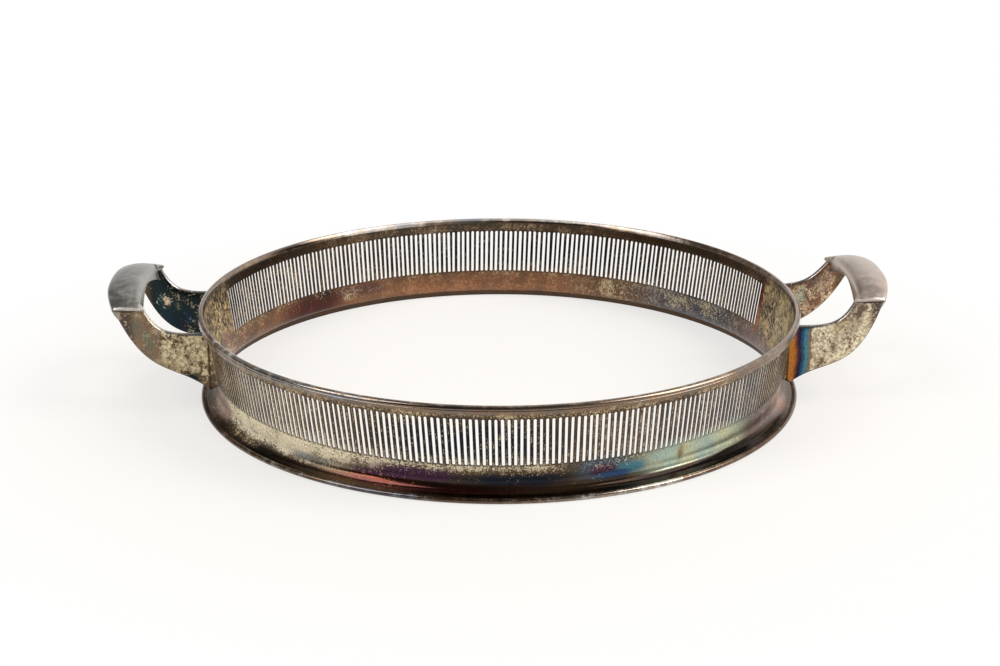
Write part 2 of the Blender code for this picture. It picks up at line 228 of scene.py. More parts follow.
def tarnishedPlate(name, changes):
    # electroplated silver left to tarnish: a coloured film that clouds and mottles, broken by paler flecks
    # that stand a little proud and scatter the light, with black in the sawn edges.
    # inputs by number: Map Range has value, from low and high, to low and high; Mix has factor, then 2, 3 or 6, 7
    look = {**plainPlate, **changes}
    perMetre = {key: 1 / (look[key] * mm) for key in look if key.endswith("Mm")}
    material = bpy.data.materials.new(name)
    material.use_nodes = True
    tree = material.node_tree
    shader = tree.nodes["Principled BSDF"]
    ground, fleck = (addNode(tree, "Attribute", out="Color", attribute_name=key) for key in ("ground", "fleck"))
    share, shine, streak, cut = (
        addNode(tree, "Attribute", out="Fac", attribute_name=key) for key in ("share", "shine", "streak", "cut"))
    place = addNode(tree, "TexCoord", out="Object")
    upright = addNode(tree, "Mapping", {"Vector": place, "Scale": (1, 1, look["streakFlat"])})
    noises = (  # size, where it lies, detail and roughness
        ("cloudMm", place, 4, 0.5), ("mottleMm", place, 4, 0.6), ("speckMm", place, 2, 0.5),
        ("streakMm", upright, 4, 0.6), ("wearMm", place, 4, 0.65))
    cloud, mottle, speck, lines, wear = (
        addNode(tree, "TexNoise", {"Vector": where, "Scale": perMetre[size], "Detail": detail, "Roughness": rough})
        for size, where, detail, rough in noises)

    # flecks lie where the noise rises above what their share leaves open
    fine = addNode(tree, "Mix", {0: look["fine"], 2: mottle, 3: speck})
    pattern = addNode(tree, "Mix", {0: streak, 2: fine, 3: lines})
    drift = addNode(tree, "Math", {0: cloud, 1: look["drift"], 2: pattern}, operation="MULTIPLY_ADD")
    level = addNode(tree, "MapRange", {0: drift, 1: look["fleckSpan"][0], 2: look["fleckSpan"][1]})
    above = addNode(tree, "Math", {0: level, 1: share}, operation="ADD")
    edge = (look["fleckEdge"] - look["soft"], look["fleckEdge"] + look["soft"])
    flecked = addNode(tree, "MapRange", {0: above, 1: edge[0], 2: edge[1]}, interpolation_type="SMOOTHSTEP")

    # grains with the ground between them, on the castings
    warp = addNode(tree, "TexNoise", {"Vector": place, "Scale": perMetre["grainMm"] / 2, "Detail": 2}, "Color")
    bent = addNode(tree, "VectorMath", {0: warp, 1: (look["warpMm"] * mm,) * 3, 2: place}, operation="MULTIPLY_ADD")
    grain = addNode(tree, "TexVoronoi", {"Vector": bent, "Scale": perMetre["grainMm"]}, "Distance")
    gaps = addNode(tree, "MapRange", {0: grain, 1: look["gapSpan"][0], 2: look["gapSpan"][1], 4: look["gap"]},
                   interpolation_type="SMOOTHSTEP")
    solid = addNode(tree, "Math", {0: 1.0, 1: gaps}, operation="SUBTRACT")
    grained = addNode(tree, "Math", {0: flecked, 1: solid}, operation="MULTIPLY")

    # the ground drifts warm and cool in clouds, and in brightness with wear
    warmth = addNode(tree, "MapRange", {0: cloud, 1: look["filmSpan"][0], 2: look["filmSpan"][1]})
    film = addNode(tree, "Mix", {0: warmth, 6: hexColour(look["coolFilm"]), 7: hexColour(look["warmFilm"])}, 2,
                   data_type="RGBA")
    shade = addNode(tree, "MapRange", {
        0: wear, 1: look["wearSpan"][0], 2: look["wearSpan"][1], 3: 1 - look["depth"], 4: 1 + look["depth"]})
    colour = addNode(tree, "Mix", {0: look["tint"], 6: ground, 7: film}, 2, data_type="RGBA", blend_type="MULTIPLY")
    colour = addNode(tree, "Mix", {0: grained, 6: colour, 7: fleck}, 2, data_type="RGBA")
    colour = addNode(tree, "Mix", {0: 1.0, 6: colour, 7: shade}, 2, data_type="RGBA", blend_type="MULTIPLY")
    edgeDark = addNode(tree, "Math", {0: cut, 1: look["sawn"]}, operation="MULTIPLY")
    colour = addNode(tree, "Mix", {0: edgeDark, 6: colour, 7: hexColour(look["sawnDark"])}, 2, data_type="RGBA")
    tree.links.new(colour, shader.inputs["Base Color"])

    # flecks are matt, the film as bright as its shine
    metal = addNode(tree, "Math", {0: shine, 1: look["metal"][1], 2: look["metal"][0]}, operation="MULTIPLY_ADD")
    keep = addNode(tree, "Math", {0: grained, 1: look["fleckMetal"], 2: 1.0}, operation="MULTIPLY_ADD")
    tree.links.new(addNode(tree, "Math", {0: metal, 1: keep}, operation="MULTIPLY"), shader.inputs["Metallic"])
    dull = look["rough"][0] + look["satin"]
    gloss = addNode(tree, "Math", {0: shine, 1: look["rough"][1], 2: dull}, operation="MULTIPLY_ADD")
    matt = addNode(tree, "Math", {0: grained, 1: look["fleckRough"], 2: gloss}, operation="MULTIPLY_ADD")
    rough = addNode(tree, "Math", {0: wear, 1: look["wearRough"], 2: matt}, operation="MULTIPLY_ADD")
    tree.links.new(rough, shader.inputs["Roughness"])
    relief = addNode(tree, "Math", {0: wear, 1: look["wearBump"], 2: grained}, operation="MULTIPLY_ADD")
    weak = look["brightBump"] * look["bump"]
    force = addNode(tree, "MapRange", {0: shine, 1: 1.0, 2: 0.0, 3: weak, 4: look["bump"]})
    bump = addNode(tree, "Bump", {"Height": relief, "Strength": force, "Distance": look["reliefMm"] * mm})
    tree.links.new(bump, shader.inputs["Normal"])
    return material


gallery = {
    "strips": {"gallery_back": 0.0, "gallery_front": 180.0},  # azimuth of the handle that each strip starts beside
    "sheet": 0.36,  # thin enough for light to show through slots seen aslant
    "pitches": 165, "panelPitches": 29,  # pitches in a half strip, and those left plain for a handle
    "slotWide": {"gallery_back": 1.17, "gallery_front": 1.05},
    "slotLow": 12.8, "slotHigh": 31.9, "slotLean": 1.2, "roundTop": 0.5, "roundLow": 0.25,
    "margin": 0.7,  # sheet above and below the slots that is meshed with them
    "waist": 119.05, "wallLean": 8.05, "topEdge": 35.6,
    "coveRadius": 4.4, "brimLong": 1.9, "brimSlope": 20, "brimEdge": 1.43, "seamGap": 0.08,
    "uneven": 0.05, "unevenLean": 0.1, "seed": 11,  # hand-fed punch: each slot's scatter in mm, its part in the lean
    "slotRows": 6, "bendRows": 40, "brimRows": 5, "coveRows": 26, "topRows": 6,
    "weld": (2000, 1000, 1),  # points that agree to this part of a pitch and of a mm are one
    "base": "umber",
    "darkCove": ("sootAndShade", 1.0, 4.4, 3.3), "darkAt": (306, 30),  # azimuth and half width; the lower cove and brim there are near black, partly tarnish and partly painted shade that trims the lamp's reflection to a thin line
    "cleanAt": (290, 42), "cleanSpan": (9.6, 7.6), "clean": 0.8,  # flecks taken off where the film is whole
    "sawnDarkening": 0.5,
    "panelSpan": (16.2, 15.2), "streakSpan": (11.5, 13.5),  # streaks on the panels: turn from the handle, height
    "outsideStainsAndShade": [
        # bars and the plain edge over them
        ("tan", 208, 34, 22.5, 11, 1), ("navy", 262, 22, 22.5, 11, 1), ("ash", 310, 28, 22.5, 11, 1),
        ("tan", 338, 17, 22.5, 11, 1), ("bronze", 270, 110, 34.4, 2.4, 0.9), ("crust", 270, 110, 33.1, 0.9, 0.8),
        # lower border
        ("sugar", 222, 27, 9.2, 6.2, 1), ("slate", 231, 5, 5.4, 1.8, 0.5), ("plum", 246, 7.5, 5.4, 3.0, 1),
        ("plum", 253, 9, 7.6, 3.6, 1), ("navy", 261, 4, 6.6, 3, 0.6), ("sugar", 263, 22, 11.9, 2.0, 0.5),
        ("navy", 271, 13, 6.8, 3.4, 1), ("slate", 287, 7, 9.0, 6, 0.9), ("plum", 286.5, 3.2, 8.4, 2.8, 1),
        ("mint", 307, 17, 8.4, 7, 1), ("teal", 292, 3.7, 7.9, 3.2, 0.9), ("teal", 297, 4.5, 5.2, 1.4, 0.4),
        ("cobalt", 288.5, 4.5, 6.2, 1.6, 1), ("ochre", 302.4, 0.9, 9.2, 4.2, 0.85),
        ("ochre", 306, 10, 11.6, 2.6, 0.45), ("mauve", 329, 8, 7.5, 6.5, 1), ("plum", 327, 3.5, 7.0, 4, 0.5),
        ("pink", 341, 9, 6.5, 6.5, 1), ("pink", 198, 6, 6.5, 6.5, 1),
        # cove and brim: the dark patches are partly tarnish, partly painted shade
        ("maroon", 255, 22, 2.4, 2.7, 1), ("sootAndShade", 219, 20, 0.2, 2.9, 0.9), ("crust", 212, 8, 1.6, 1.6, 0.6),
        ("rust", 246, 12, 4.4, 0.9, 0.7), ("sootAndShade", 267, 19, -0.3, 1.6, 0.8), ("rust", 339, 9, 2.0, 2, 0.6),
        # back
        ("copper", 62, 30, 7, 7, 0.9), ("plum", 108, 18, 6, 6, 0.9), ("mint", 142, 16, 7, 6, 0.8),
        ("navy", 85, 40, 22.5, 11, 0.8),
    ],
    "insideStainsAndShade": [
        # lower border
        ("copper", 100, 75, 5.5, 10, 1), ("maroon", 135, 12, 7, 8, 0.9), ("plum", 121, 7, 9.5, 4, 0.6),
        ("crust", 124.5, 1.6, 8, 2.4, 0.8), ("navy", 131, 3, 11.5, 2.2, 0.7), ("cobalt", 129, 4, 10, 3, 0.3),
        ("crust", 57, 14, 7.5, 8, 0.7), ("slate", 38, 18, 8, 8, 0.8), ("crust", 36, 14, 8.5, 6, 0.5),
        ("mauve", 15, 9, 6, 8, 0.9), ("pink", 176, 16, 5, 6, 0.5), ("crust", 100, 32, 12.2, 1.4, 0.4),
        # bars and the plain edge over them
        ("navy", 82, 48, 22.5, 10.5, 0.9), ("gilt", 152, 22, 22.5, 11, 0.7), ("ash", 24, 20, 22.5, 11, 0.8),
        ("umber", 90, 110, 34.2, 2.4, 1), ("fawn", 92, 30, 33.8, 2, 0.45), ("sootAndShade", 150, 24, 33.8, 3, 0.65),
        ("sootAndShade", 40, 28, 34, 2.4, 0.6),
        # plain panels, seam and brim; the dark band low along the brim is painted shade
        ("gilt", 180, 17.5, 23.5, 14, 1), ("gilt", 0, 17.5, 23.5, 14, 1), ("crumb", 4, 9, 23.5, 11, 0.3),
        ("rust", 15.6, 1.3, 21, 13, 1), ("rust", 168, 4, 12.4, 2, 0.7), ("sootAndShade", 90, 120, -0.6, 1.5, 0.55),
        # front
        ("copper", 250, 60, 5.5, 10, 0.8), ("navy", 280, 40, 22.5, 11, 0.6), ("crust", 225, 20, 8, 6, 0.7),
    ],
}
wallRate = math.tan(math.radians(gallery["wallLean"]))


def wallRadius(z):
    # middle of the leaning wall: its radius at the foot of the slots, and the lean's tangent for each mm above
    return gallery["waist"] + (z - gallery["slotLow"]) * wallRate


def sheetLine():
    # middle of the sheet from the brim's edge up: a straight brim, an arc, a straight leaning wall.
    # gives distance along it (the height, on the wall), radius, height and the outward normal's tilt
    g = gallery
    slope, lean = math.radians(g["brimSlope"]), math.radians(g["wallLean"])
    bend = np.linspace(-slope, -math.pi / 2 - lean, g["bendRows"])
    arcLow = g["brimEdge"] + g["brimLong"] * math.sin(slope)
    coveTop = arcLow + g["coveRadius"] * (math.cos(bend[0]) - math.cos(bend[-1]))
    arcR = wallRadius(coveTop) + g["coveRadius"] * (np.sin(bend) - np.sin(bend[-1]))
    arcZ = coveTop - g["coveRadius"] * (np.cos(bend) - np.cos(bend[-1]))
    along = coveTop - g["coveRadius"] * (bend - bend[-1])
    brimR = arcR[0] + g["brimLong"] * math.cos(slope)
    s = np.concatenate([[along[0] - g["brimLong"]], along, [g["topEdge"]]])
    r = np.concatenate([[brimR], arcR, [wallRadius(g["topEdge"])]])
    z = np.concatenate([[g["brimEdge"]], arcZ, [g["topEdge"]]])
    tilt = np.concatenate([[math.pi / 2 - slope], math.pi / 2 + bend, [-lean]])
    return s, r, z, tilt


lineS, lineR, lineZ, lineTilt = sheetLine()
brimS = lineS[0]


def slotCells(rng, slotWide):
    # one ring of quads per pitch, from the slot's outline (two sides, two half ellipses) to the pitch's oblong.
    # gives points as (pitches from the seam, distance along the sheet, 1 on a slot's edge) and the quads
    g = gallery
    count = g["pitches"] - g["panelPitches"]
    middle = (g["slotLow"] + g["slotHigh"]) / 2
    pitchMm = math.pi * wallRadius(middle) / g["pitches"]
    half, wide, rows = 0.5, slotWide / 2 / pitchMm, g["slotRows"]
    up = np.linspace(g["slotLow"] + g["roundLow"], g["slotHigh"] - g["roundTop"], rows)
    low, high = g["slotLow"] - g["margin"], g["slotHigh"] + g["margin"]
    turn = np.radians([45, 90, 135])  # points on a slot's round end
    side, corners, flat = np.ones(rows), np.array([half, 0, -half]), np.ones(len(turn))
    frameA = np.concatenate([half * side, corners, -half * side, -corners])
    frameS = np.concatenate([up, high * flat, up[::-1], low * flat])
    slotA = np.concatenate([wide * side, wide * np.cos(turn), -wide * side, wide * np.cos(turn + math.pi)])
    slotS = np.concatenate([
        up, up[-1] + g["roundTop"] * np.sin(turn), up[::-1], up[0] + g["roundLow"] * np.sin(turn + math.pi)])
    ring = len(frameA)
    scatter = rng.normal(0, g["uneven"], (4, count, 1))  # of lean, width, place and top end
    lean = math.tan(math.radians(g["slotLean"])) + scatter[0] * g["unevenLean"]
    cellA = slotA * (1 + scatter[1]) + (scatter[2] - lean * (slotS - middle)) / pitchMm
    cellS = slotS + scatter[3] * smoothRise(slotS, middle, g["slotHigh"])
    centre = np.arange(count)[:, None] + half
    a = np.concatenate([centre + frameA, centre + cellA], 1)
    s = np.concatenate([np.broadcast_to(frameS, (count, ring)), cellS], 1)
    k = np.arange(ring)
    nextK = (k + 1) % ring
    quad = np.stack([k, nextK, ring + nextK, ring + k], -1)
    quads = (quad[None] + 2 * ring * np.arange(count)[:, None, None]).reshape(-1, 4)
    sawn = np.tile(np.repeat([0, 1], ring), count)
    return np.stack([a.ravel(), s.ravel(), sawn], -1), quads, up, low, high


def plainField(a, s):
    # a plain grid of the sheet from its columns (pitches) and rows (distance along it), with no sawn points
    points = np.stack(np.meshgrid(a, s, [0], indexing="ij"), -1).reshape(-1, 3)
    return points, gridFaces(len(a), len(s))


def halfStrip(rng, slotWide):
    # slots, plain panel, lower and upper border, joined where their points meet
    g = gallery
    cells, cellQuads, up, low, high = slotCells(rng, slotWide)
    columns = np.arange(2 * g["pitches"] + 1) / 2  # every half pitch
    panel = columns[columns >= g["pitches"] - g["panelPitches"]]
    brimEnd = brimS + g["brimLong"]
    brimRows, coveRows = np.linspace(brimS, brimEnd, g["brimRows"]), np.linspace(brimEnd, low, g["coveRows"])
    sections = [
        (cells, cellQuads),
        plainField(panel, np.concatenate([[low], up, [high]])),
        plainField(columns, np.concatenate([brimRows, coveRows[1:]])),
        plainField(columns, np.linspace(high, g["topEdge"], g["topRows"])),
    ]
    starts = np.cumsum([0] + [len(section[0]) for section in sections])
    points = np.concatenate([section[0] for section in sections])
    quads = np.concatenate([section[1] + start for section, start in zip(sections, starts)])
    key = np.round(points * g["weld"]).astype(np.int64)
    keep, back = np.unique(key, axis=0, return_index=True, return_inverse=True)[1:]
    return points[keep], back.ravel()[quads]


def sheetSolid(points, quads, startAzimuth):
    # the two faces of the sheet, half its thickness either side of the line, and walls along every open edge
    g = gallery
    gapTurn = g["seamGap"] / wallRadius(g["topEdge"])
    share = points[:, 0] / g["pitches"]
    azimuth = math.radians(startAzimuth) + gapTurn / 2 + share * (math.pi - gapTurn)
    r, z, tilt = (np.interp(points[:, 1], lineS, line) for line in (lineR, lineZ, lineTilt))
    faces = []
    for side in (0.5, -0.5):
        offset = side * g["sheet"]
        rr = r + offset * np.cos(tilt)
        faces.append(np.stack([rr * np.cos(azimuth), rr * np.sin(azimuth), z + offset * np.sin(tilt)], -1))
    count = len(points)
    edges = np.concatenate([quads[:, [i, (i + 1) % 4]] for i in range(4)])
    index, uses = np.unique(np.sort(edges, 1), axis=0, return_index=True, return_counts=True)[1:]
    a, b = edges[index[uses == 1]].T
    walls = np.stack([b, a, a + count, b + count], -1)
    allQuads = np.concatenate([quads, quads[:, ::-1] + count, walls])
    outside = np.repeat([True, False], count)
    allAzimuth = np.tile(np.degrees(azimuth) % 360, 2)
    return np.concatenate(faces), allQuads, allAzimuth, np.tile(points[:, 1], 2), outside, np.tile(points[:, 2], 2)


def galleryFields(azimuth, along, outside, sawn):
    # patches on each face, some of them painted shade; at the front right a dark cove, partly painted shade, and
    # whole film; darker slot walls; streaks on panels
    g = gallery
    fields = stateField(len(azimuth), g["base"])
    paintPatches(fields, g["outsideStainsAndShade"], azimuth, along, outside)
    paintPatches(fields, g["insideStainsAndShade"], azimuth, along, ~outside)
    dark, clean = (
        plateau(turnFrom(azimuth, middle), half) * outside for middle, half in (g["darkAt"], g["cleanAt"]))
    # painted shade on the lower cove and brim at the front right
    fade(fields, g["darkCove"], along, dark)
    fields["share"] *= 1 - g["clean"] * clean * smoothRise(along, *g["cleanSpan"])
    # darker slot walls
    spread(fields, "sootAndShade", g["sawnDarkening"] * sawn)
    handleTurn = np.abs(turnFrom(azimuth * 2, 0)) / 2  # from the middle of the nearer handle
    fields["streak"] = smoothRise(handleTurn, *g["panelSpan"]) * smoothRise(along, *g["streakSpan"])
    return fields


# plate on rolled sheet, pierced: film in clouds of colour, worn to pale grains, and dark edges in every slot
galleryFinish = tarnishedPlate("silver_plate_pierced_tarnished", {})
for order, (node, handleAzimuth) in enumerate(gallery["strips"].items()):
    seam = handleAzimuth + 180 * gallery["panelPitches"] / gallery["pitches"] / 2
    rng = np.random.default_rng(gallery["seed"] + order)
    flat, sheetQuads = halfStrip(rng, gallery["slotWide"][node])
    points, quads, azimuth, along, outside, sawn = sheetSolid(flat, sheetQuads, seam)
    fields = galleryFields(azimuth, along, outside, sawn)
    cut = np.arange(len(quads)) >= 2 * len(sheetQuads)  # the walls come after the two faces
    piece = makePiece(node + "_sheet", points, quads, fields, galleryFinish, cut=cut)
    settle(piece, node)
print("gallery strips")


def turnedRing(profile, steps):
    # a closed outline of (radius, height) carried once round the axis
    angle = np.linspace(0, 2 * math.pi, steps, endpoint=False)[:, None]
    r, z = profile[:, 0], profile[:, 1]
    grid = np.stack([r * np.cos(angle), r * np.sin(angle), np.broadcast_to(z, (steps, len(z)))], -1)
    azimuth = np.broadcast_to(np.degrees(angle), (steps, len(z))).ravel()
    return grid.reshape(-1, 3), gridFaces(steps, len(z), True, True), azimuth


def arcPoints(centre, radius, start, end, count):
    # part of a circle, by its centre, radius and the turn in degrees
    turn = np.radians(np.linspace(start, end, count))
    return np.array(centre) + radius * np.stack([np.cos(turn), np.sin(turn)], -1)


def arcChain(arcs, start, rows):
    # arcs that run on from each other: out by the fall of the turn's cosine and up by the rise of its sine,
    # times the radius
    path = [np.zeros((1, 2))]
    for radius, end in arcs:
        turn = np.radians(np.linspace(start, end, rows))
        step = radius * np.stack([np.cos(turn[0]) - np.cos(turn), np.sin(turn) - np.sin(turn[0])], -1)
        path.append(path[-1][-1] + step[1:])
        start = end
    return np.concatenate(path)


rim = {
    "arcs": ((5.0, 33), (0.25, 85), (3.0, 97), (1.35, 180)), "lean": 10,  # radius of each arc, turn where it ends
    "insetOut": 0.02, "insetTop": 0.01,  # kept inside the solid's box
    "skirtRound": 0.35, "draft": 0.15, "groove": 0.2, "grooveLow": 35.88, "grooveHigh": 0.36, "grooveLip": 0.05,
    "clearance": 0.03, "lap": 0.01,  # off the gallery's edge; lap of the inner foot past its face
    "arcRows": 10, "skirtRows": 6, "steps": 720,
    "solder": 0.45, "solderMost": 1.5, "solderHigh": 0.6,  # lumps of solder along the skirt's lower edge
    "solderWaves": (61, 97, 139, 211), "seed": 5,
    "outerSpan": (1.2, 0.6),  # from the outside in, where the outer side begins and is whole
    # the skirt's band is its tone; the flank band darkens the inner flank below the crown as painted shade
    "base": "dun", "skirtBand": ("bronze", 0.6, 36.4, 36.1), "flankBand": ("umber", 0.8, 36.6, 35.6),
    "patchList": [
        # most of these are painted light: the bright, pale and sheen patches on the crown and upper flank are
        # painted highlights and painted reflections, set along the ring to move the lamps' highlights, and the dark
        # ones beside them painted shade
        ("brightAndHighlight", 90, 45, 37.65, 0.35, 0.7), ("satin", 232, 18, 37.0, 1.2, 0.7),
        ("brightAndHighlight", 222, 22, 37.6, 0.5, 0.8), ("slate", 238, 12, 36.6, 0.9, 0.5),
        ("blushAndSheen", 262, 40, 37.65, 0.3, 0.8), ("sootAndShade", 138, 9, 36.4, 1.3, 0.9), ("blushAndSheen", 113, 9, 36.6, 1.2, 0.8),
        ("blushAndSheen", 52, 8, 36.6, 1.2, 0.8), ("sootAndShade", 82, 18, 36.2, 0.5, 0.8), ("sootAndShade", 67, 6, 36.3, 0.7, 0.7),
        ("paintedSheen", 92, 32, 37.35, 0.6, 0.9),
    ],
    "outerStainsAndShade": [
        # the dark band along the near crown's outer round is a painted dark reflection; satin and slate are tone
        ("satin", 226, 18, 36.3, 1.6, 0.6), ("slate", 240, 9, 36.2, 1.4, 0.5), ("sootAndShade", 262, 36, 36.9, 0.7, 0.6)],
    # painted reflections: pale bands low on the inner flank
    "innerPaintedSheen": [("paintedSheen", 115, 12, 35.8, 1.3, 0.8), ("paintedSheen", 50, 9, 35.8, 1.3, 0.7)],
    "finish": {"mottleMm": 4, "fine": 0.3, "depth": 0.15, "bump": 0.06, "soft": 0.4},
}


def rimProfile(low, out, top):
    # crown, groove and rounded skirt down the outside, then back up over the gallery's edge to the inner flank
    crown = arcChain(rim["arcs"], rim["lean"], rim["arcRows"])
    crown += (out - crown[-1, 0], top - crown[:, 1].max())
    grooveLow, grooveHigh, turn = rim["grooveLow"], rim["grooveHigh"], rim["skirtRound"]
    half = gallery["sheet"] / 2
    skin, cover = half + rim["clearance"], gallery["topEdge"] + rim["clearance"]
    return np.concatenate([
        crown,
        [(out, grooveLow + grooveHigh), (out - rim["groove"], grooveLow + grooveHigh / 2)],
        [(out - rim["grooveLip"], grooveLow)],
        arcPoints((out - rim["draft"] - turn, low + turn), turn, 0, -90, rim["skirtRows"]),
        [(wallRadius(low) + skin, low), (wallRadius(cover) + skin, cover), (wallRadius(cover) - skin, cover)],
        [(wallRadius(crown[0, 1]) - half - rim["lap"], crown[0, 1])],
    ])


rimLow, rimHigh = (np.array(corner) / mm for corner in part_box("rim_moulding"))
rimOut, skirtLow = rimHigh[1] - rim["insetOut"], rimLow[2]
points, quads, azimuth = turnedRing(rimProfile(skirtLow, rimOut, rimHigh[2] - rim["insetTop"])[::-1], rim["steps"])
phases = np.random.default_rng(rim["seed"]).uniform(0, 2 * math.pi, len(rim["solderWaves"]))
waves = [np.sin(wave * np.radians(azimuth) + phase) for wave, phase in zip(rim["solderWaves"], phases)]
lumps = sum(waves) / math.sqrt(len(waves))
outer = smoothRise(np.hypot(points[:, 0], points[:, 1]), *(rimOut - inset for inset in rim["outerSpan"]))
z = points[:, 2]  # the points follow it
under = smoothRise(z, skirtLow + rim["solderHigh"], skirtLow) * outer
z -= under * rim["solder"] * np.clip(lumps, 0, rim["solderMost"])
fields = stateField(len(points), rim["base"])
# painted highlights, reflections and shade on the crown, from the list above
paintPatches(fields, rim["patchList"], azimuth, z)
fade(fields, rim["skirtBand"], z, outer)
paintPatches(fields, rim["outerStainsAndShade"], azimuth, z, outer > 0.5)
spread(fields, "crust", under * np.clip(lumps, 0, 1))
# painted shade low on the inner flank
fade(fields, rim["flankBand"], z, 1 - outer)
paintPatches(fields, rim["innerPaintedSheen"], azimuth, z, outer < 0.5)
# plate on drawn moulding, handled: smooth, with long soft clouds and a light line painted on the crown as a
# highlight
rimFinish = tarnishedPlate("silver_plate_drawn_worn", rim["finish"])
settle(makePiece("rim_bead", points, quads, fields, rimFinish), "rim_moulding")
print("rim")

foot = {
    "bead": 1.0, "beadTurn": (120, -90), "beadRows": 19, "insetOut": 0.02,
    "inside": 120.9, "lipGap": 0.1, "lipDrop": 0.4, "seatGap": 0.04, "steps": 540,
    # the underside and the inner side under the brim are painted darker: painted shade
    "base": "bronze", "underside": ("sootAndShade", 0.5, 0.7, 0.0), "innerSide": ("sootAndShade", 0.55, 121.4, 121.0),
    "patchList": [
        # the pale patch at the front right is a painted reflection on the bead, the dark one at the front a painted
        # dark reflection; satin and slate are its tone
        ("satin", 226, 20, 1, 5, 0.35), ("slate", 246, 12, 1, 5, 0.6), ("sootAndShade", 266, 12, 1, 5, 0.15),
        ("brightAndHighlight", 287, 17, 1, 5, 0.55),
    ],
    "finish": {"mottleMm": 4, "fine": 0.3, "depth": 0.2, "bump": 0.1, "soft": 0.4},
}
footHigh = np.array(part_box("foot_ring")[1]) / mm
footOut, footTop = footHigh[1] - foot["insetOut"], footHigh[2]
brimSlope = math.radians(gallery["brimSlope"])
lipIn = lineR[0] + gallery["sheet"] / 2 * math.sin(brimSlope) + foot["lipGap"]


def seatHeight(radius):
    # underside of the brim, less a hair: the brim's edge, its slope, and half the sheet and the gap square to it
    fall = (radius - lineR[0]) * math.tan(brimSlope)
    return gallery["brimEdge"] - fall - (gallery["sheet"] / 2 + foot["seatGap"]) / math.cos(brimSlope)


footProfile = np.concatenate([
    arcPoints((footOut - foot["bead"], footTop - foot["bead"]), foot["bead"], *foot["beadTurn"], foot["beadRows"]),
    [(foot["inside"], 0.0), (foot["inside"], seatHeight(foot["inside"]))],
    [(lipIn, seatHeight(lipIn)), (lipIn, footTop - foot["lipDrop"])],
])
points, quads, azimuth = turnedRing(footProfile[::-1], foot["steps"])
fields = stateField(len(points), foot["base"])
paintPatches(fields, foot["patchList"], azimuth, points[:, 2])
# painted shade under the bead and on its inner side
fade(fields, foot["underside"], points[:, 2])
fade(fields, foot["innerSide"], np.hypot(points[:, 0], points[:, 1]))
# plate on drawn wire, less handled: brown and smooth, with the light as a thin line on the bead
footFinish = tarnishedPlate("silver_plate_drawn_dark", foot["finish"])
settle(makePiece("foot_wire", points, quads, fields, footFinish), "foot_ring")
print("foot")


arm = {
    "spread": 27.5, "thick": 3.6, "crown": 0.35, "edge": 1.0, "sunk": 0.1,
    "flare": 1.7, "flareFrom": 114.7, "flareLong": 5.0,  # each side's swell at the root, where full, its length
    "lowerEnds": ((112.7, 3.2), (155.2, 43.2)), "upperEnds": ((112.7, 33.9), (143.1, 43.2)),
    "solderX": 118.4, "solderRise": 0.6,  # end of the casting, and how the solder behind it climbs to the wall
    "stations": 80, "crowding": 1.15, "faceRows": 16, "edgeRows": 7,
    "trials": 600, "rootShare": 0.4, "rootTrials": 200,  # fine steps that find the wall and the casting's end
    "upper": ((132.6, 32.7), (137.9, 32.7)), "flecksFrom": (-9, -8), "solderBack": 0.0,  # or a casting's own
    "wander": ((0.35, 9, 1), (0.15, 31, 0)),  # size in mm, waves and phase of the bands' unevenness
    "crust": ("crust", 1.0, 0.0, -0.5), "joint": (0.9, -0.1, 0.4),  # solder, and the dark line where it starts
    # the dark line along the lower edge and the dark sides of the rubbed upper edge are painted shade on their
    # rounds
    "lowLine": (0.75, 0.06, 0.015), "rubbed": ("brightAndHighlight", 1.0, 0.95, 0.99), "shadedSides": (0.7, 0.55, 0.95),
    "finish": {
        "mottleMm": 3.0, "speckMm": 0.8, "fine": 0.45, "grainMm": 1.4, "warpMm": 1.4, "gap": 0.55, "bump": 0.6},
}
